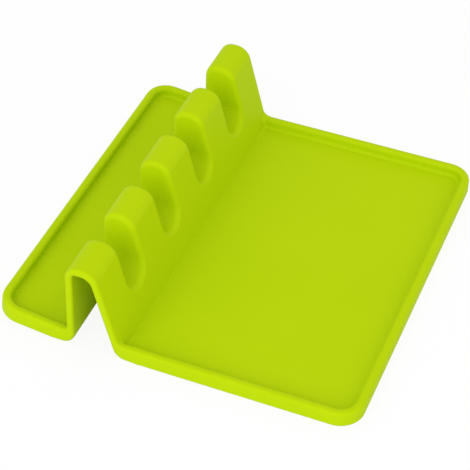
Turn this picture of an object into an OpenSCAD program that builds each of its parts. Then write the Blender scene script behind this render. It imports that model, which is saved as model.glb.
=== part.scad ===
// Spoon rest: one soft moulding, a notched hollow ridge between a wide drip tray and a narrow rear tray.
// X runs across the trays, Y along the ridge and Z up. The origin is on the table, under the middle.
// The moulding is divided along its folds, so that each region is a solid of its own.

/* [Plan] */
// Length along the ridge
length = 188; // [170:1:240]
// Width of the drip tray, from the foot of the front wall to its outer edge
drip_tray_w = 113.5; // [80:0.5:150]
// Width of the rear tray, from the foot of the rear wall to its outer edge
rear_tray_w = 38; // [25:0.5:60]
// Width of the ridge on the table, between the outer feet of its two walls
ridge_base_w = 28.5; // [24:0.5:40]
// Radius of the trays' outer corners in plan
corner_r = 12; // [6:0.5:18]

/* [Trays] */
// Thickness of the tray floors
floor_t = 3; // [2:0.1:4]
// Height of the rims above the underside of their tray
rim_h = 8; // [6:0.1:10]
// Width of the rims
rim_w = 4.4; // [3.8:0.1:6]
// Radius of the two upper edges of a rim
rim_edge_r = 1.8; // [0.5:0.1:2]
// Height of the rear tray's outer edge above the table
rear_rise = 5; // [0:0.5:10]
// Radius of the fillets between the walls and the tray floors
root_r = 0.8; // [0.5:0.1:4]

/* [Ridge] */
// Height of the posts above the table
ridge_h = 49; // [42:0.5:60]
// Width of the crowns between the two walls' outer faces, before their edges are rounded
crown_w = 14.7; // [14:0.1:18]
// Lean of the rear wall from upright, in degrees
rear_lean = 1; // [0:0.1:2]
// Thickness of the walls
wall_t = 3.7; // [3:0.1:4.8]
// Thickness of the posts' crowns
crown_t = 4.2; // [3:0.1:6]
// Radius of the crowns' front edge
crown_front_r = 8; // [4:0.1:9]
// Radius of the crowns' rear edge
crown_rear_r = 7; // [4:0.1:8]
// Radius of the hollow's upper front edge
hollow_front_r = 5; // [2:0.1:5.5]
// Radius of the hollow's upper rear edge
hollow_rear_r = 2; // [1:0.1:2.5]

/* [Notches] */
// Number of notches
notch_count = 4; // [2:1:4]
// Width of a notch
notch_w = 16.5; // [14:0.5:22]
// Distance between the middles of neighbouring notches, as a share of the length
notch_pitch_share = 0.2197; // [0.18:0.0001:0.235]
// Height of a notch's lowest point above the table
notch_floor_z = 19; // [14:0.5:24]
// Thickness of the notch linings
lining_t = 4.5; // [3:0.1:4.8]

/* [Hidden] */
$fn = 64;
// Steps in each round edge of the ridge's outline
arc_steps = 16;
silicone = [0.68, 0.82, 0.04];
// How far a cut runs past what it cuts
overrun = 1;

width = rear_tray_w + ridge_base_w + drip_tray_w;
front_foot_x = width/2 - drip_tray_w;
rear_foot_x = front_foot_x - ridge_base_w;
end_y = length/2;

// The front wall leans back from its foot to the front of the crowns
front_lean = atan((ridge_base_w - crown_w - ridge_h*tan(rear_lean))/ridge_h);

// The rear tray slopes up from the foot of the rear wall
rear_tilt = atan(rear_rise/rear_tray_w);
rear_slant_w = rear_tray_w/cos(rear_tilt);

// A notch is upright above the middle of its half-round bottom, and so is its lining
notch_r = notch_w/2;
lining_r = notch_r + lining_t;
arc_z = notch_floor_z + notch_r;
notch_pitch = notch_pitch_share*length;
notch_ys = [for (i = [0:notch_count - 1]) (i - (notch_count - 1)/2)*notch_pitch];

// Y at which each post starts and ends, between the linings beside it
post_from_ys = concat([-end_y], [for (y = notch_ys) y + lining_r]);
post_to_ys = concat([for (y = notch_ys) y - lining_r], [end_y]);

// X of each wall's outer face at a height, or of a plane a given depth inside it
function front_x(z, depth = 0) = front_foot_x - z*tan(front_lean) - depth/cos(front_lean);
function rear_x(z, depth = 0) = rear_foot_x + z*tan(rear_lean) + depth/cos(rear_lean);

// Points along an arc between two angles
function arc_points(middle, r, from_angle, to_angle) = [
    for (i = [0:arc_steps])
        let (angle = from_angle + (to_angle - from_angle)*i/arc_steps)
            middle + r*[cos(angle), sin(angle)]
];

// Extrudes an X-Z outline along the ridge
module along_ridge(from_y, to_y) {
    translate([0, to_y, 0])
        rotate([90, 0, 0])
            linear_extrude(to_y - from_y)
                children();
}

// Extrudes a Y-Z outline across the ridge
module across_ridge(from_x, to_x) {
    translate([from_x, 0, 0])
        rotate([90, 0, 90])
            linear_extrude(to_x - from_x)
                children();
}

// X-Z outline a given depth inside the ridge's walls, with round upper edges
module ridge_outline(depth, top_z, front_r, rear_r, low_z) {
    front_mid = [front_x(top_z - front_r, depth + front_r), top_z - front_r];
    rear_mid = [rear_x(top_z - rear_r, depth + rear_r), top_z - rear_r];
    polygon(concat(
        [[front_x(low_z, depth), low_z]],
        arc_points(front_mid, front_r, front_lean, 90),
        arc_points(rear_mid, rear_r, 90, 180 - rear_lean),
        [[rear_x(low_z, depth), low_z]]
    ));
}

module ridge_shell_outline() {
    difference() {
        ridge_outline(0, ridge_h, crown_front_r, crown_rear_r, 0);
        ridge_outline(wall_t, ridge_h - crown_t, hollow_front_r, hollow_rear_r, -overrun);
    }
}

// Everything inside the ridge's outer faces, run past its ends and below the table to trim the trays
module ridge_block() {
    along_ridge(-end_y - overrun, end_y + overrun)
        ridge_outline(0, ridge_h, crown_front_r, crown_rear_r, -rim_h);
}

// Y-Z outline of a notch or of its lining, open at the top
module notch_outline(r) {
    translate([0, arc_z])
        circle(r);
    translate([-r, arc_z])
        square([2*r, ridge_h]);
}

// Where the linings pass through the walls
module lining_holes() {
    for (y = notch_ys)
        translate([0, y, 0])
            across_ridge(-width, width)
                notch_outline(lining_r);
}

// Fillet outline in the corner of a wall and a tray floor, seated half the wall's thickness into the wall.
// X is measured outwards from the wall's foot.
module root_fillet_outline(lean, tilt) {
    floor_way = [cos(tilt), sin(tilt)];
    floor_up = [-sin(tilt), cos(tilt)];
    wall_way = [-sin(lean), cos(lean)];
    seat = -wall_t/2*[cos(lean), sin(lean)];
    corner = floor_t*(tan(tilt - lean)*floor_way + floor_up);
    reach = root_r/tan((90 + lean - tilt)/2);
    difference() {
        polygon([
            corner + reach*floor_way,
            corner,
            corner + seat,
            corner + seat + reach*wall_way,
            corner + reach*wall_way
        ]);
        translate(corner + reach*floor_way + root_r*floor_up)
            circle(root_r);
    }
}

// Plan of a tray, a given depth inside its outer edge, with X measured outwards from the wall's foot
module tray_plan(w, depth) {
    r = corner_r - depth;
    outer_x = w - depth;
    side_y = end_y - depth;
    translate([-ridge_base_w/2, -side_y])
        square([ridge_base_w/2 + outer_x - r, 2*side_y]);
    translate([0, r - side_y])
        square([outer_x, 2*(side_y - r)]);
    for (side = [-1, 1])
        translate([outer_x - r, side*(side_y - r)])
            circle(r);
}

module tray_floor(w) {
    linear_extrude(floor_t)
        tray_plan(w, rim_w);
}

// Section through a rim, with round upper edges
module rim_section() {
    square([rim_w, rim_h - rim_edge_r]);
    translate([rim_edge_r, 0])
        square([rim_w - 2*rim_edge_r, rim_h]);
    for (x = [rim_edge_r, rim_w - rim_edge_r])
        translate([x, rim_h - rim_edge_r])
            circle(rim_edge_r);
}

// Rim along the outer edge of a tray, round its two corners and back to the ridge
module tray_rim(w) {
    straight_y = end_y - corner_r;
    along_ridge(-straight_y, straight_y)
        translate([w - rim_w, 0])
            rim_section();
    for (side = [-1, 1]) {
        translate([w - corner_r, side*straight_y, 0])
            rotate([0, 0, side < 0 ? -90 : 0])
                rotate_extrude(angle = 90)
                    translate([corner_r - rim_w, 0])
                        rim_section();
        across_ridge(-ridge_base_w/2, w - corner_r)
            translate([side < 0 ? -end_y : end_y - rim_w, 0])
                rim_section();
    }
}

// Puts a tray, modelled outwards from X = 0, against the front wall
module at_front_foot() {
    color(silicone)
        difference() {
            translate([front_foot_x, 0, 0])
                children();
            ridge_block();
        }
}

// Puts a tray against the rear wall, sloping up away from it
module at_rear_foot() {
    color(silicone)
        difference() {
            translate([rear_foot_x, 0, 0])
                rotate([0, rear_tilt, 0])
                    mirror([1, 0, 0])
                        children();
            ridge_block();
        }
}

module drip_tray_floor() {
    at_front_foot()
        tray_floor(drip_tray_w);
}

module drip_tray_rim() {
    at_front_foot()
        tray_rim(drip_tray_w);
}

module rear_tray_floor() {
    at_rear_foot()
        tray_floor(rear_slant_w);
}

module rear_tray_rim() {
    at_rear_foot()
        tray_rim(rear_slant_w);
}

// Leaning wall from the table up to the middle of the notches' round bottoms, with its root fillet
module ridge_front_wall() {
    color(silicone) {
        difference() {
            along_ridge(-end_y, end_y)
                polygon([
                    [front_x(0), 0],
                    [front_x(arc_z), arc_z],
                    [front_x(arc_z, wall_t), arc_z],
                    [front_x(0, wall_t), 0]
                ]);
            lining_holes();
        }
        along_ridge(rim_w - end_y, end_y - rim_w)
            translate([front_foot_x, 0])
                root_fillet_outline(front_lean, 0);
    }
}

// Nearly upright wall behind the posts, with its root fillet
module ridge_rear_wall() {
    color(silicone) {
        difference() {
            along_ridge(-end_y, end_y)
                polygon([
                    [rear_x(0), 0],
                    [rear_x(arc_z), arc_z],
                    [rear_x(arc_z, wall_t), arc_z],
                    [rear_x(0, wall_t), 0]
                ]);
            lining_holes();
        }
        along_ridge(rim_w - end_y, end_y - rim_w)
            translate([rear_foot_x, 0])
                mirror([1, 0])
                    root_fillet_outline(rear_lean, rear_tilt);
    }
}

// Hollow post with a rounded crown, between two notches or at an end of the ridge
module post(i) {
    color(silicone)
        along_ridge(post_from_ys[i], post_to_ys[i])
            intersection() {
                ridge_shell_outline();
                translate([-width, arc_z])
                    square([2*width, ridge_h]);
            }
}

// Lining of a notch: its two cheeks and its half-round bottom, from the rear wall through to the front wall
module notch_saddle(i) {
    color(silicone)
        intersection() {
            translate([0, notch_ys[i], 0])
                across_ridge(-width, width)
                    difference() {
                        notch_outline(lining_r);
                        notch_outline(notch_r);
                    }
            ridge_block();
        }
}

drip_tray_floor();
drip_tray_rim();
rear_tray_floor();
rear_tray_rim();
ridge_front_wall();
ridge_rear_wall();
for (i = [0:notch_count])
    post(i);
for (i = [0:notch_count - 1])
    notch_saddle(i);
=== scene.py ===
"""Spoon rest of soft lime silicone: a notched hollow ridge between a wide drip tray and a rear tray."""

import math

import bmesh
import bpy
from bpy.props import FloatProperty, FloatVectorProperty, PointerProperty
from mathutils import Matrix, Vector


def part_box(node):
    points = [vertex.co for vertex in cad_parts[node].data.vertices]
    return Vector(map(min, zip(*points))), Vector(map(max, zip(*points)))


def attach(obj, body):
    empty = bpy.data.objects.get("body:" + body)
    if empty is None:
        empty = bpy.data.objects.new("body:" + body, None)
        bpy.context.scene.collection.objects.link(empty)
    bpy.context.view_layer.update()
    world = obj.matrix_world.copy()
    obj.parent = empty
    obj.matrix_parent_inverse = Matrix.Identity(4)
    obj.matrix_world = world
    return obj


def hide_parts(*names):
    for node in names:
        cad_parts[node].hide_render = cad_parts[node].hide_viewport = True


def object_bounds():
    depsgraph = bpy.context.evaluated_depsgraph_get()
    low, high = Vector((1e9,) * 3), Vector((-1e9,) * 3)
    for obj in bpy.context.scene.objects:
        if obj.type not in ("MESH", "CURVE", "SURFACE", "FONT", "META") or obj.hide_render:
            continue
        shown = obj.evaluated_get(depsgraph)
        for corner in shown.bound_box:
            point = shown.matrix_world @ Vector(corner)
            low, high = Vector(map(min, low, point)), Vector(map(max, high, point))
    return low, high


bl_info = {
    "name": "Spoon Rest",
    "version": (1, 0, 0),
    "blender": (4, 5, 0),
    "location": "View3D > Sidebar > Spoon Rest",
    "description": "Models a soft spoon rest around its solid frame, with its stage",
    "category": "Object",
}

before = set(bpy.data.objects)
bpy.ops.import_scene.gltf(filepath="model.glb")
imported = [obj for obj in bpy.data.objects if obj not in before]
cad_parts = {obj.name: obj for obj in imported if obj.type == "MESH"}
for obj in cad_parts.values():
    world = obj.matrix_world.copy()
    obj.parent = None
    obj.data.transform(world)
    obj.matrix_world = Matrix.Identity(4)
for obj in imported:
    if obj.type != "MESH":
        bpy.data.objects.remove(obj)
CAD_LOW, CAD_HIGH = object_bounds()

MM = 0.001
# Distance of the part's two ends from its middle
END_Y = CAD_HIGH.y
SADDLES = sorted(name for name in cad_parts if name.startswith("notch_saddle_"))
POSTS = sorted(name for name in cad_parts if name.startswith("post_"))
WALLS = ["ridge_front_wall", "ridge_rear_wall"]
SADDLE_LOW, SADDLE_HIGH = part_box(SADDLES[0])

# Points closer than this are the same point
TOUCH = 0.01*MM
# Points that the notches' cuts leave closer than this are merged
CUT_TOUCH = 0.002*MM
# Points closer than this to a cutting plane lie on it
ON_PLANE = 0.001*MM
# Edges that turn more than this are rounded
SHARP = math.radians(35)
# Faces that turn less than this are one flat face
FLAT = math.radians(0.5)
# Segments of the roundings
CORNER_STEPS = 14
ROUND_STEPS = 4
CROWN_STEPS = 8
NOTCH_STEPS = 16
# Octaves of the noise in the silicone
PATCH_DETAIL = 3
GLOSS_DETAIL = 4
GRAIN_DETAIL = 2
# Noise runs from 0 to 1 about this
NOISE_MIDDLE = 0.5
WHITE = (1, 1, 1, 1)


def length(name, default, description):
    """A size in metres that a user may change."""
    return FloatProperty(
        name=name, description=description, default=default, min=0, unit="LENGTH", precision=4
    )


def coordinate(name, default, description):
    """A place along an axis, in metres, that a user may change."""
    return FloatProperty(name=name, description=description, default=default, unit="LENGTH", precision=4)


def focal(name, millimetres, description):
    """A size inside the camera that a user may change."""
    return FloatProperty(
        name=name, description=description, default=millimetres, min=1, subtype="DISTANCE_CAMERA"
    )


def angle(name, degrees, description):
    """An angle that a user may change."""
    return FloatProperty(name=name, description=description, default=math.radians(degrees), subtype="ANGLE")


def share(name, default, description):
    """A factor from 0 to 1 that a user may change."""
    return FloatProperty(name=name, description=description, default=default, min=0, max=1, subtype="FACTOR")


def power(name, watts, description):
    """A lamp's strength that a user may change."""
    return FloatProperty(name=name, description=description, default=watts, min=0, unit="POWER")


def colour(name, default, description):
    """A linear colour that a user may change."""
    return FloatVectorProperty(
        name=name, description=description, default=default, size=3, min=0, max=1, subtype="COLOR"
    )


class SpoonRestSizes(bpy.types.PropertyGroup):
    """Sizes of the moulding."""

    drip_tray_w: length("Drip tray width", 113.5*MM, "From the foot of the front wall to the outer edge")
    rear_tray_w: length("Rear tray width", 38*MM, "From the foot of the rear wall to the outer edge")
    corner_r: length("Corner radius", 12*MM, "Radius of the trays' outer corners in plan")
    floor_t: length("Floor thickness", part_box("drip_tray_floor")[1].z, "Thickness of the tray floors")
    rim_h: length("Rim height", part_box("drip_tray_rim")[1].z, "Height of a rim above its tray's underside")
    rim_w: length("Rim width", 4.4*MM, "Width of the rims")
    rear_rise: length("Rear rise", 5*MM, "Height of the rear tray's outer edge above the table")
    front_lean: angle("Front lean", 14.8, "Lean of the front wall from upright")
    rear_lean: angle("Rear lean", 1, "Lean of the rear wall from upright")
    wall_t: length("Wall thickness", 3.7*MM, "Thickness of the ridge's walls")
    lining_t: length("Lining thickness", 4.5*MM, "Thickness of the notch linings")
    crown_t: length("Crown thickness", 4.2*MM, "Thickness of the posts' crowns")
    crown_front_r: length("Crown front radius", 8*MM, "Radius of the crowns' front edge")
    crown_rear_r: length("Crown rear radius", 7*MM, "Radius of the crowns' rear edge")
    hollow_front_r: length("Hollow front radius", 5*MM, "Radius of the hollow's upper front edge")
    hollow_rear_r: length("Hollow rear radius", 2*MM, "Radius of the hollow's upper rear edge")
    foot_r: length("Foot radius", 6.5*MM, "Radius of the inner edges of the ridge's feet")
    fold_r: length("Fold radius", 1.7*MM, "Radius of the inward folds of the rims")
    foot_fold_r: length("Foot fold radius", 0.15*MM, "Radius of the inward folds at the walls' feet")
    fold_taper: length("Fold taper", 10*MM, "Length over which a foot's fold widens to the fold of the rim")
    end_fold_r: length("End fold radius", 3.5*MM, "Radius of the fold of wall and rim at its outer end")
    notch_edge_r: length("Notch edge radius", 2.6*MM, "Radius of the outer edges of the notches")
    edge_r: length("Edge radius", 1.7*MM, "Radius of the other outward edges")
    bottom_r: length("Bottom radius", 0.8*MM, "Radius of the outer edges on the table")
    seam: length("Seam", 8*MM, "Distance from a wall's foot to the seam between ridge and tray")


class SpoonRestFinish(bpy.types.PropertyGroup):
    """Finish of the silicone."""

    lime: colour("Lime", (0.474, 0.635, 0.002), "Colour of the silicone")
    deep_lime: colour("Deep lime", (0.446, 0.61, 0.001), "Colour of its slightly darker patches")
    roughness: share("Roughness", 0.5, "Roughness of the satin surface")
    gloss_change: share("Gloss change", 0.16, "How much the roughness changes from place to place")
    grain_change: share("Grain change", 0.08, "How much the roughness changes with the grain")
    specular: share("Specular", 0.03, "Strength of the surface's gloss")
    patch: length("Patch", 45*MM, "Size of the darker patches")
    gloss_patch: length("Gloss patch", 7.5*MM, "Size of the places with more or less gloss")
    grain: length("Grain", 0.7*MM, "Size of the fine grain left by the mould")
    grain_depth: length("Grain depth", 0.012*MM, "Depth of the fine grain")


class SpoonRestStage(bpy.types.PropertyGroup):
    """Camera, light and floor."""

    azimuth: angle("Azimuth", 20.983, "Turn of the camera round the object")
    elevation: angle("Elevation", 42.067, "Height of the camera above the horizon")
    roll: angle("Roll", 1.324, "Turn of the camera about its own axis")
    distance: length("Distance", 852.7*MM, "From the camera to the point that it looks at")
    aim_x: coordinate("Aim X", -8.03*MM, "X of that point on the table")
    aim_y: coordinate("Aim Y", 6.53*MM, "Y of that point on the table")
    lens: focal("Lens", 131.07, "Focal length in millimetres")
    sensor: focal("Sensor", 36, "Width of the camera's sensor in millimetres")
    clip_start: length("Clip start", 10*MM, "Nearest distance that the camera shows")
    floor_colour: colour("Floor colour", (0.9, 0.9, 0.9), "Colour of the floor")
    floor_side: length("Floor side", 8, "Side of the square floor")
    floor_gap: length("Floor gap", 0.1*MM, "Depth of the floor below the part, so that the two don't touch")
    surround: share("Surround", 0.88, "Level of the even light from all round")
    shadow: share("Shadow", 0.09, "How strongly the floor shows the object's shadow")
    shadow_from: length("Shadow from", 0.15, "Distance at which the floor's shadow starts to fade")
    shadow_to: length("Shadow to", 0.6, "Distance at which the floor is pure white")
    key_azimuth: angle("Key azimuth", -8, "Direction of the main lamp")
    key_elevation: angle("Key elevation", 32, "Height of the main lamp above the horizon")
    key_power: power("Key power", 8.6, "Strength of the main lamp")
    fill_azimuth: angle("Fill azimuth", 60, "Direction of the second lamp")
    fill_elevation: angle("Fill elevation", 20, "Height of the second lamp above the horizon")
    fill_power: power("Fill power", 2.4, "Strength of the second lamp")
    lamp_distance: length("Lamp distance", 1.6, "From the lamps to the object")
    lamp_side: length("Lamp side", 1.2, "Side of the square lamps")


class Value:
    """A socket of a node tree. Arithmetic on it adds Math nodes."""

    def __init__(self, tree, socket):
        self.tree = tree
        self.socket = socket

    def maths(self, operation, first, second):
        return self.tree.add("ShaderNodeMath", {"operation": operation}, {0: first, 1: second})["Value"]

    def __add__(self, other):
        return self.maths("ADD", self, other)

    def __radd__(self, other):
        return self.maths("ADD", other, self)

    def __sub__(self, other):
        return self.maths("SUBTRACT", self, other)

    def __rsub__(self, other):
        return self.maths("SUBTRACT", other, self)

    def __mul__(self, other):
        return self.maths("MULTIPLY", self, other)

    def __rmul__(self, other):
        return self.maths("MULTIPLY", other, self)


class Tree:
    """The node tree of a material or world."""

    def __init__(self, owner):
        owner.use_nodes = True
        self.nodes = owner.node_tree.nodes
        self.links = owner.node_tree.links
        self.nodes.clear()

    def add(self, kind, settings, inputs):
        """Adds a node, sets it, fills its sockets and returns its outputs by name."""
        node = self.nodes.new(kind)
        for name, value in settings.items():
            setattr(node, name, value)
        for key, value in inputs.items():
            socket = node.inputs[key] if isinstance(key, int) else self.find(node.inputs, key)
            if isinstance(value, Value):
                self.links.new(value.socket, socket)
            else:
                socket.default_value = value
        return {key: Value(self, s) for s in node.outputs if s.enabled for key in (s.name, s.identifier)}

    @staticmethod
    def find(sockets, key):
        """The socket of that identifier, or else the one of that name that is in use."""
        identified = [s for s in sockets if s.identifier == key]
        named = [s for s in sockets if s.name == key and s.enabled]
        return (identified + named)[0]


def opaque(rgb):
    """A colour with full alpha."""
    return (*rgb, 1)


def silicone_material(finish):
    """Satin lime silicone: faint darker patches, uneven gloss and the fine grain of the mould."""
    material = bpy.data.materials.get("silicone") or bpy.data.materials.new("silicone")
    tree = Tree(material)
    place = tree.add("ShaderNodeTexCoord", {}, {})["Object"]

    def noise(size, detail):
        """Noise from 0 to 1 whose features have that size."""
        return tree.add("ShaderNodeTexNoise", {}, {"Vector": place, "Scale": 1/size, "Detail": detail})["Fac"]

    patches = noise(finish.patch, PATCH_DETAIL)
    gloss = noise(finish.gloss_patch, GLOSS_DETAIL)
    grain = noise(finish.grain, GRAIN_DETAIL)
    base = tree.add(
        "ShaderNodeMix",
        {"data_type": "RGBA"},
        {"Factor_Float": patches, "A_Color": opaque(finish.lime), "B_Color": opaque(finish.deep_lime)},
    )["Result_Color"]
    roughness = finish.roughness + (gloss - NOISE_MIDDLE)*finish.gloss_change
    roughness = roughness + (grain - NOISE_MIDDLE)*finish.grain_change
    bump = tree.add(
        "ShaderNodeBump", {}, {"Height": grain, "Strength": 1, "Distance": finish.grain_depth}
    )["Normal"]
    shader = tree.add(
        "ShaderNodeBsdfPrincipled",
        {},
        {
            "Base Color": base,
            "Roughness": roughness,
            "Specular IOR Level": finish.specular,
            "Normal": bump,
        },
    )["BSDF"]
    tree.add("ShaderNodeOutputMaterial", {}, {"Surface": shader})
    return material


def same(first, second):
    """Whether two coordinates are equal but for rounding."""
    return abs(first - second) < TOUCH


def bevel(bm, edges, offset, segments):
    """Rounds edges by that distance from each."""
    bmesh.ops.bevel(
        bm,
        geom=edges,
        offset=offset,
        offset_type="OFFSET",
        affect="EDGES",
        segments=segments,
        profile=0.5,
        material=-1,
        clamp_overlap=False,
    )


def sharp_edges(bm, convex):
    """Edges that turn sharply, outwards or inwards."""
    bm.normal_update()
    return [e for e in bm.edges if e.calc_face_angle(0) > SHARP and e.is_convex == convex]


def merge_flat(bm):
    """Joins neighbouring faces that lie in one plane."""
    bm.normal_update()
    bmesh.ops.dissolve_limit(bm, angle_limit=FLAT, verts=bm.verts, edges=bm.edges)


def sink(bm, face):
    """Extrudes a face and returns the new one, whose points then can be moved."""
    return bmesh.ops.extrude_discrete_faces(bm, faces=[face])["faces"][0]


def split(bm, point, outwards, clear=False):
    """Splits a mesh along a plane, and may clear what lies beyond it."""
    geometry = bm.verts[:] + bm.edges[:] + bm.faces[:]
    bmesh.ops.bisect_plane(
        bm, geom=geometry, dist=ON_PLANE, plane_co=point, plane_no=outwards, clear_outer=clear
    )


def cut_at_seam(bm, point, outwards):
    """Cuts off what lies beyond a seam and closes the cut with a flat face that has sharp edges."""
    split(bm, point, outwards, clear=True)
    open_edges = [e for e in bm.edges if e.is_boundary]
    bmesh.ops.holes_fill(bm, edges=open_edges, sides=0)
    for edge in open_edges:
        edge.smooth = False


class Section:
    """Places in the X-Z section of the moulding."""

    def __init__(self, sizes):
        self.sizes = sizes
        self.front_foot = CAD_HIGH.x - sizes.drip_tray_w
        self.rear_foot = CAD_LOW.x + sizes.rear_tray_w
        self.rear_tilt = math.atan(sizes.rear_rise/sizes.rear_tray_w)
        self.rear_slant_w = sizes.rear_tray_w/math.cos(self.rear_tilt)

    def front(self, z, depth=0):
        """X of the front wall at a height, or a depth inside its outer face."""
        lean = self.sizes.front_lean
        return self.front_foot - z*math.tan(lean) - depth/math.cos(lean)

    def rear(self, z, depth=0):
        """X of the rear wall at a height, or a depth inside its outer face."""
        lean = self.sizes.rear_lean
        return self.rear_foot + z*math.tan(lean) + depth/math.cos(lean)

    def drip_tray(self, out, up):
        """A point of the drip tray, out from the wall's foot and up from the underside."""
        return self.front_foot + out, up

    def rear_tray(self, out, up):
        """A point of the sloping rear tray, out from the wall's foot and up from the underside."""
        tilt = self.rear_tilt
        x = self.rear_foot - out*math.cos(tilt) + up*math.sin(tilt)
        return x, out*math.sin(tilt) + up*math.cos(tilt)

    def drip_tray_wall(self, up):
        """Where the front wall stands, that far above the drip tray's underside."""
        return self.front(up), up

    def rear_tray_wall(self, up):
        """Where the rear wall stands, that far above the rear tray's underside."""
        return self.rear_tray(up*math.tan(self.rear_tilt - self.sizes.rear_lean), up)


def tray(sizes, width):
    """Rimmed tray, modelled outwards from a wall's foot at X = 0 and cut off at its seam with the ridge."""
    spare = sizes.corner_r
    low = Vector((sizes.seam - spare, -END_Y, 0))
    high = Vector((width, END_Y, sizes.rim_h))
    bm = bmesh.new()
    box = Matrix.Translation((low + high)/2) @ Matrix.Diagonal((*(high - low), 1))
    bmesh.ops.create_cube(bm, size=1, matrix=box)
    outer = [e for e in bm.edges if all(same(v.co.x, width) for v in e.verts)]
    bevel(bm, [e for e in outer if same(e.verts[0].co.y, e.verts[1].co.y)], sizes.corner_r, CORNER_STEPS)

    top = max(bm.faces, key=lambda f: f.calc_center_median().z)
    bmesh.ops.inset_region(bm, faces=[top], thickness=sizes.rim_w, use_even_offset=True)
    floor = sink(bm, top)
    bmesh.ops.translate(bm, verts=floor.verts, vec=(0, 0, sizes.floor_t - sizes.rim_h))
    under = [e for e in sharp_edges(bm, convex=True) if all(same(v.co.z, 0) for v in e.verts)]
    bevel(bm, under, sizes.bottom_r, ROUND_STEPS)
    bevel(bm, sharp_edges(bm, convex=True), sizes.edge_r, ROUND_STEPS)
    bevel(bm, sharp_edges(bm, convex=False), sizes.fold_r, ROUND_STEPS)
    cut_at_seam(bm, Vector((sizes.seam, 0, 0)), Vector((-1, 0, 0)))
    return bm


def ridge_shell(sizes, section):
    """Ridge with the inner edges of both trays, still without its notches, and cut off at both seams."""
    rim_h = sizes.rim_h
    floor_t = sizes.floor_t
    top_z = CAD_HIGH.z
    hollow_z = top_z - sizes.crown_t
    pocket = sizes.seam + sizes.corner_r
    stub = pocket + sizes.rim_w
    side_y = END_Y - sizes.rim_w
    foot_lean = sizes.rear_lean - section.rear_tilt
    point = {
        "rear low": section.rear_tray(stub, 0),
        "rear top": section.rear_tray(stub, rim_h),
        "rear rim": section.rear_tray(pocket, rim_h),
        "rear wall": section.rear_tray_wall(rim_h),
        "rear crown": (section.rear(top_z), top_z),
        "front crown": (section.front(top_z), top_z),
        "front wall": section.drip_tray_wall(rim_h),
        "front rim": section.drip_tray(pocket, rim_h),
        "front top": section.drip_tray(stub, rim_h),
        "front low": section.drip_tray(stub, 0),
        "front foot": (section.front(0, sizes.wall_t), 0),
        "front hollow": (section.front(hollow_z, sizes.wall_t), hollow_z),
        "rear hollow": (section.rear(hollow_z, sizes.wall_t), hollow_z),
        "rear foot": section.rear_tray(-sizes.wall_t/math.cos(foot_lean), 0),
    }
    bm = bmesh.new()
    end = bm.faces.new([bm.verts.new((x, -END_Y, z)) for x, z in point.values()])
    grown = bmesh.ops.extrude_face_region(bm, geom=[end])["geom"]
    far_end = [item for item in grown if isinstance(item, bmesh.types.BMVert)]
    bmesh.ops.translate(bm, verts=far_end, vec=(0, 2*END_Y, 0))
    bmesh.ops.recalc_face_normals(bm, faces=bm.faces)

    def split_across(distance):
        """Splits the faces at that distance to both sides of the middle."""
        for y in (-distance, distance):
            split(bm, Vector((0, y, 0)), Vector((0, 1, 0)))

    split_across(side_y)

    def at(vert, place):
        return same(vert.co.x, place[0]) and same(vert.co.z, place[1])

    def lower(wall, rim, wall_to, rim_to):
        """Sinks the face between a wall and a rim to the level of the tray's floor."""
        middle = [f for f in bm.faces if same(f.calc_center_median().y, 0)]
        face = next(f for f in middle if all(at(v, point[wall]) or at(v, point[rim]) for v in f.verts))
        for vert in sink(bm, face).verts:
            vert.co.x, vert.co.z = wall_to if at(vert, point[wall]) else rim_to

    lower("front wall", "front rim", section.drip_tray_wall(floor_t), section.drip_tray(pocket, floor_t))
    lower("rear wall", "rear rim", section.rear_tray_wall(floor_t), section.rear_tray(pocket, floor_t))
    merge_flat(bm)

    def round_along(place, radius, lean):
        """Rounds the long edge at a place, whose faces turn by a right angle less the lean."""
        edges = [e for e in bm.edges if all(at(v, place) for v in e.verts)]
        bevel(bm, edges, radius*math.tan((math.pi/2 - lean)/2), CROWN_STEPS)

    round_along(point["front crown"], sizes.crown_front_r, sizes.front_lean)
    round_along(point["rear crown"], sizes.crown_rear_r, sizes.rear_lean)
    round_along(point["front hollow"], sizes.hollow_front_r, sizes.front_lean)
    round_along(point["rear hollow"], sizes.hollow_rear_r, sizes.rear_lean)
    round_along(point["front foot"], sizes.foot_r, sizes.front_lean)
    round_along(point["rear foot"], sizes.foot_r, foot_lean)

    def rim_edges(wall, rim):
        """Inner upper edges of the two rims that meet a wall."""
        return [
            e for e in bm.edges
            if any(at(a, point[wall]) and at(b, point[rim]) for a, b in (e.verts, reversed(e.verts)))
            and same(abs(e.verts[0].co.y), side_y)
        ]

    inner_rims = rim_edges("front wall", "front rim") + rim_edges("rear wall", "rear rim")
    bevel(bm, inner_rims, sizes.edge_r, ROUND_STEPS)
    bevel(bm, sharp_edges(bm, convex=False), sizes.fold_r, ROUND_STEPS)

    def refold(place, radius, least_y, most_y):
        """Changes the radius of a fold at a place, for its points between two distances from the middle."""
        for vert in bm.verts:
            corner = Vector((place[0], vert.co.y, place[1]))
            within = least_y - TOUCH < abs(vert.co.y) < most_y + TOUCH
            if within and (vert.co - corner).length < sizes.fold_r + TOUCH:
                vert.co = corner + (vert.co - corner)*radius/sizes.fold_r

    for wall in ("front wall", "rear wall"):
        refold(point[wall], sizes.end_fold_r, END_Y, END_Y)
    taper_y = side_y - sizes.fold_r - sizes.fold_taper
    split_across(taper_y)
    for foot in (section.drip_tray_wall(floor_t), section.rear_tray_wall(floor_t)):
        refold(foot, sizes.foot_fold_r, 0, taper_y)
    for place, outwards in seams(sizes, section):
        cut_at_seam(bm, place, outwards)
    return bm


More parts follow.
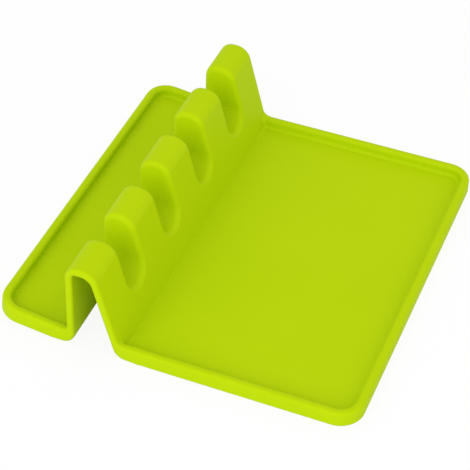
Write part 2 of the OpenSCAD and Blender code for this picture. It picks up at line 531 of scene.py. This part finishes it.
def seams(sizes, section):
    """A point on each seam plane and the way out of the ridge there."""
    front = section.drip_tray(sizes.seam, 0)
    rear = section.rear_tray(sizes.seam, 0)
    tilt = section.rear_tilt
    return [
        (Vector((front[0], 0, front[1])), Vector((1, 0, 0))),
        (Vector((rear[0], 0, rear[1])), Vector((-math.cos(tilt), 0, math.sin(tilt)))),
    ]


def notch_bars(radius, top_z, rear_x, front_x):
    """A bar with a half-round underside across the ridge at each notch, between two slanting ends."""
    arc_z = SADDLE_LOW.z + (SADDLE_HIGH.y - SADDLE_LOW.y)/2
    bm = bmesh.new()
    for name in SADDLES:
        low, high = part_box(name)
        middle = Vector(((low.x + high.x)/2, (low.y + high.y)/2, (arc_z - radius + top_z)/2))
        size = (high.x - low.x, 2*radius, top_z - arc_z + radius, 1)
        made = bmesh.ops.create_cube(bm, size=1, matrix=Matrix.Translation(middle) @ Matrix.Diagonal(size))
        edges = {e for v in made["verts"] for e in v.link_edges}
        under = [e for e in edges if all(same(v.co.z, arc_z - radius) for v in e.verts)]
        bevel(bm, [e for e in under if not same(e.verts[0].co.x, e.verts[1].co.x)], radius, NOTCH_STEPS)
    bmesh.ops.remove_doubles(bm, verts=bm.verts, dist=TOUCH)
    bmesh.ops.dissolve_degenerate(bm, edges=bm.edges, dist=TOUCH)
    middle_x = (SADDLE_LOW.x + SADDLE_HIGH.x)/2
    for vert in bm.verts:
        vert.co.x = front_x(vert.co.z) if vert.co.x > middle_x else rear_x(vert.co.z)
    bmesh.ops.recalc_face_normals(bm, faces=bm.faces)
    return bm


def new_object(name, bm):
    """Puts a finished bmesh into the scene."""
    mesh = bpy.data.meshes.new(name)
    bm.to_mesh(mesh)
    bm.free()
    made = bpy.data.objects.new(name, mesh)
    bpy.context.scene.collection.objects.link(made)
    return made


def combine(bm, *tools):
    """Adds solids to a bmesh or takes them from it, and returns the result."""
    body = new_object("blank", bm)
    spent = [body]
    for operation, tool in tools:
        other = new_object(operation.lower(), tool)
        step = body.modifiers.new(operation, "BOOLEAN")
        step.operation = operation
        step.object = other
        step.solver = "EXACT"
        spent.append(other)
    shaped = body.evaluated_get(bpy.context.evaluated_depsgraph_get()).to_mesh()
    result = bmesh.new()
    result.from_mesh(shaped)
    for item in spent:
        bpy.data.objects.remove(item)
    return result


def narrow_underside(bm, sizes, place, outwards):
    """Narrows the ridge's rounded lower end edges at a seam to those of the tray that it meets there."""
    excess = 1 - sizes.bottom_r/sizes.edge_r
    upwards = outwards.cross(Vector((0, 1, 0)))
    if upwards.z < 0:
        upwards.negate()
    for vert in bm.verts:
        offset = vert.co - place
        side = math.copysign(END_Y, vert.co.y) - vert.co.y
        up = offset.dot(upwards)
        if abs(offset.dot(outwards)) < TOUCH and max(abs(side), up) < sizes.edge_r + TOUCH:
            vert.co.y += side*excess
            vert.co -= up*excess*upwards


def ridge(sizes):
    """Ridge with its lined notches and all its edges rounded."""
    section = Section(sizes)
    lining_r = (SADDLE_HIGH.y - SADDLE_LOW.y)/2
    notch_r = lining_r - sizes.lining_t
    reach = sizes.lining_t/2
    linings = notch_bars(
        lining_r,
        CAD_HIGH.z - sizes.crown_t/2,
        lambda z: section.rear(z, reach),
        lambda z: section.front(z, reach),
    )
    well_above = 2*CAD_HIGH.z
    notches = notch_bars(
        notch_r,
        well_above,
        lambda z: section.rear(0) - sizes.seam,
        lambda z: section.front(0) + sizes.seam,
    )
    bm = combine(ridge_shell(sizes, section), ("UNION", linings), ("DIFFERENCE", notches))
    bmesh.ops.remove_doubles(bm, verts=bm.verts, dist=CUT_TOUCH)
    merge_flat(bm)

    joins = seams(sizes, section)

    def on_seam(edge):
        return any(
            all(abs((v.co - place).dot(outwards)) < TOUCH for v in edge.verts)
            for place, outwards in joins
        )

    notch_low = SADDLE_LOW.z + sizes.lining_t
    middles = [(low.y + high.y)/2 for low, high in map(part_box, SADDLES)]

    def in_notch(vert):
        return vert.co.z > notch_low - TOUCH and any(abs(vert.co.y - y) < notch_r + TOUCH for y in middles)

    around = [e for e in sharp_edges(bm, convex=True) if all(in_notch(v) for v in e.verts)]
    bevel(bm, around, sizes.notch_edge_r, CROWN_STEPS)
    edges = sharp_edges(bm, convex=True) + sharp_edges(bm, convex=False)
    bevel(bm, [e for e in edges if not on_seam(e)], sizes.edge_r, ROUND_STEPS)
    for edge in bm.edges:
        edge.smooth = not on_seam(edge)
    for place, outwards in joins:
        narrow_underside(bm, sizes, place, outwards)
    return bm


def add_piece(context, name, bm, nodes):
    """Puts a piece of the moulding into the scene in place of its solids."""
    piece = new_object(name, bm)
    for polygon in piece.data.polygons:
        polygon.use_smooth = True
    normals = piece.modifiers.new("Weighted normals", "WEIGHTED_NORMAL")
    normals.mode = "FACE_AREA"
    normals.keep_sharp = True
    piece.data.materials.append(silicone_material(context.scene.spoon_rest_finish))
    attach(piece, "root")
    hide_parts(*nodes)


class SPOONREST_OT_drip_tray(bpy.types.Operator):
    """Model the wide tray in front of the ridge"""

    bl_idname = "spoon_rest.drip_tray"
    bl_label = "Drip tray"

    def execute(self, context):
        sizes = context.scene.spoon_rest_sizes
        section = Section(sizes)
        bm = tray(sizes, sizes.drip_tray_w)
        bmesh.ops.translate(bm, verts=bm.verts, vec=(section.front_foot, 0, 0))
        add_piece(context, "drip_tray", bm, ["drip_tray_floor", "drip_tray_rim"])
        return {"FINISHED"}


class SPOONREST_OT_rear_tray(bpy.types.Operator):
    """Model the narrow tray behind the ridge, which slopes up away from it"""

    bl_idname = "spoon_rest.rear_tray"
    bl_label = "Rear tray"

    def execute(self, context):
        sizes = context.scene.spoon_rest_sizes
        section = Section(sizes)
        bm = tray(sizes, section.rear_slant_w)
        turn = Matrix.Rotation(section.rear_tilt, 4, "Y") @ Matrix.Rotation(math.pi, 4, "Z")
        bmesh.ops.transform(bm, verts=bm.verts, matrix=Matrix.Translation((section.rear_foot, 0, 0)) @ turn)
        add_piece(context, "rear_tray", bm, ["rear_tray_floor", "rear_tray_rim"])
        return {"FINISHED"}


class SPOONREST_OT_ridge(bpy.types.Operator):
    """Model the hollow ridge with its posts and lined notches"""

    bl_idname = "spoon_rest.ridge"
    bl_label = "Ridge"

    def execute(self, context):
        add_piece(context, "ridge", ridge(context.scene.spoon_rest_sizes), WALLS + POSTS + SADDLES)
        return {"FINISHED"}


def backdrop_rays(tree):
    """Masks of the rays that show the backdrop: straight to the camera, and mirrored or refracted."""
    path = tree.add("ShaderNodeLightPath", {}, {})
    bent = path["Is Glossy Ray"] + path["Is Transmission Ray"]
    return path["Is Camera Ray"], tree.add("ShaderNodeClamp", {}, {"Value": bent})["Result"]


def floor_material(stage):
    """White floor that shows the object's shadow faintly."""
    material = bpy.data.materials.new("floor")
    tree = Tree(material)
    matt = tree.add("ShaderNodeBsdfDiffuse", {}, {"Color": opaque(stage.floor_colour)})["BSDF"]
    glow = tree.add("ShaderNodeEmission", {}, {"Color": WHITE, "Strength": 1})["Emission"]
    place = tree.add("ShaderNodeTexCoord", {}, {})["Object"]
    reach = tree.add("ShaderNodeVectorMath", {"operation": "LENGTH"}, {0: place})["Value"]
    far = tree.add(
        "ShaderNodeMapRange",
        {"interpolation_type": "SMOOTHSTEP"},
        {"Value": reach, "From Min": stage.shadow_from, "From Max": stage.shadow_to},
    )["Result"]
    straight, bent = backdrop_rays(tree)
    lit = straight*(1 - stage.shadow*(1 - far)) + bent*far
    mix = tree.add("ShaderNodeMixShader", {}, {"Fac": lit, 1: matt, 2: glow})["Shader"]
    tree.add("ShaderNodeOutputMaterial", {}, {"Surface": mix})
    return material


def add_floor(stage):
    """A wide white floor under the part."""
    bm = bmesh.new()
    low = Matrix.Translation((0, 0, -stage.floor_gap))
    bmesh.ops.create_grid(bm, x_segments=1, y_segments=1, size=stage.floor_side/2, matrix=low)
    floor = new_object("floor", bm)
    floor.data.materials.append(floor_material(stage))


def add_world(scene, stage):
    """Even light from all round, in front of a white background."""
    scene.world = bpy.data.worlds.new("surround")
    tree = Tree(scene.world)
    straight, bent = backdrop_rays(tree)
    level = stage.surround + (straight + bent)*(1 - stage.surround)
    light = tree.add("ShaderNodeBackground", {}, {"Color": WHITE, "Strength": level})["Background"]
    tree.add("ShaderNodeOutputWorld", {}, {"Surface": light})


def add_lamp(scene, stage, name, azimuth, elevation, watts):
    """A square soft lamp that faces the object."""
    light = bpy.data.lights.new(name, "AREA")
    light.size = stage.lamp_side
    light.energy = watts
    lamp = bpy.data.objects.new(name, light)
    scene.collection.objects.link(lamp)
    lamp.matrix_world = orbit(Vector(), azimuth, elevation, 0, stage.lamp_distance)


def orbit(aim, azimuth, elevation, roll, distance):
    """Matrix of a camera or lamp that looks at a point. Azimuth 0 looks along Y."""
    turn = Matrix.Rotation(azimuth, 4, "Z") @ Matrix.Rotation(math.pi/2 - elevation, 4, "X")
    aimed = Matrix.Translation(aim) @ turn @ Matrix.Rotation(roll, 4, "Z")
    return aimed @ Matrix.Translation((0, 0, distance))


def add_camera(scene, stage):
    """The camera that sees the part as in the photo."""
    camera = bpy.data.objects.new("camera", bpy.data.cameras.new("camera"))
    scene.collection.objects.link(camera)
    camera.data.sensor_width = stage.sensor
    camera.data.lens = stage.lens
    camera.data.clip_start = stage.clip_start
    aim = Vector((stage.aim_x, stage.aim_y, 0))
    camera.matrix_world = orbit(aim, stage.azimuth, stage.elevation, stage.roll, stage.distance)
    scene.camera = camera


class SPOONREST_OT_stage(bpy.types.Operator):
    """Set up the white floor, the soft light and the camera"""

    bl_idname = "spoon_rest.stage"
    bl_label = "Stage"

    def execute(self, context):
        scene = context.scene
        stage = scene.spoon_rest_stage
        scene.view_settings.view_transform = "Standard"
        add_floor(stage)
        add_world(scene, stage)
        add_lamp(scene, stage, "key", stage.key_azimuth, stage.key_elevation, stage.key_power)
        add_lamp(scene, stage, "fill", stage.fill_azimuth, stage.fill_elevation, stage.fill_power)
        add_camera(scene, stage)
        return {"FINISHED"}


class SPOONREST_PT_panel(bpy.types.Panel):
    """Lists the sizes, the finish, the stage and the operators"""

    bl_idname = "SPOONREST_PT_panel"
    bl_label = "Spoon Rest"
    bl_space_type = "VIEW_3D"
    bl_region_type = "UI"
    bl_category = "Spoon Rest"

    def draw(self, context):
        for group in GROUPS:
            box = self.layout.box()
            values = getattr(context.scene, group)
            for name in values.__annotations__:
                box.prop(values, name)
        for operator in OPERATORS:
            self.layout.operator(operator.bl_idname)


GROUPS = {
    "spoon_rest_sizes": SpoonRestSizes,
    "spoon_rest_finish": SpoonRestFinish,
    "spoon_rest_stage": SpoonRestStage,
}
OPERATORS = [SPOONREST_OT_stage, SPOONREST_OT_drip_tray, SPOONREST_OT_rear_tray, SPOONREST_OT_ridge]
CLASSES = [*GROUPS.values(), *OPERATORS, SPOONREST_PT_panel]


def register():
    for cls in CLASSES:
        bpy.utils.register_class(cls)
    for name, group in GROUPS.items():
        setattr(bpy.types.Scene, name, PointerProperty(type=group))


def unregister():
    for name in GROUPS:
        delattr(bpy.types.Scene, name)
    for cls in reversed(CLASSES):
        bpy.utils.unregister_class(cls)


def main():
    register()
    bpy.ops.spoon_rest.stage()
    bpy.ops.spoon_rest.drip_tray()
    bpy.ops.spoon_rest.rear_tray()
    bpy.ops.spoon_rest.ridge()


if __name__ == "__main__":
    main()
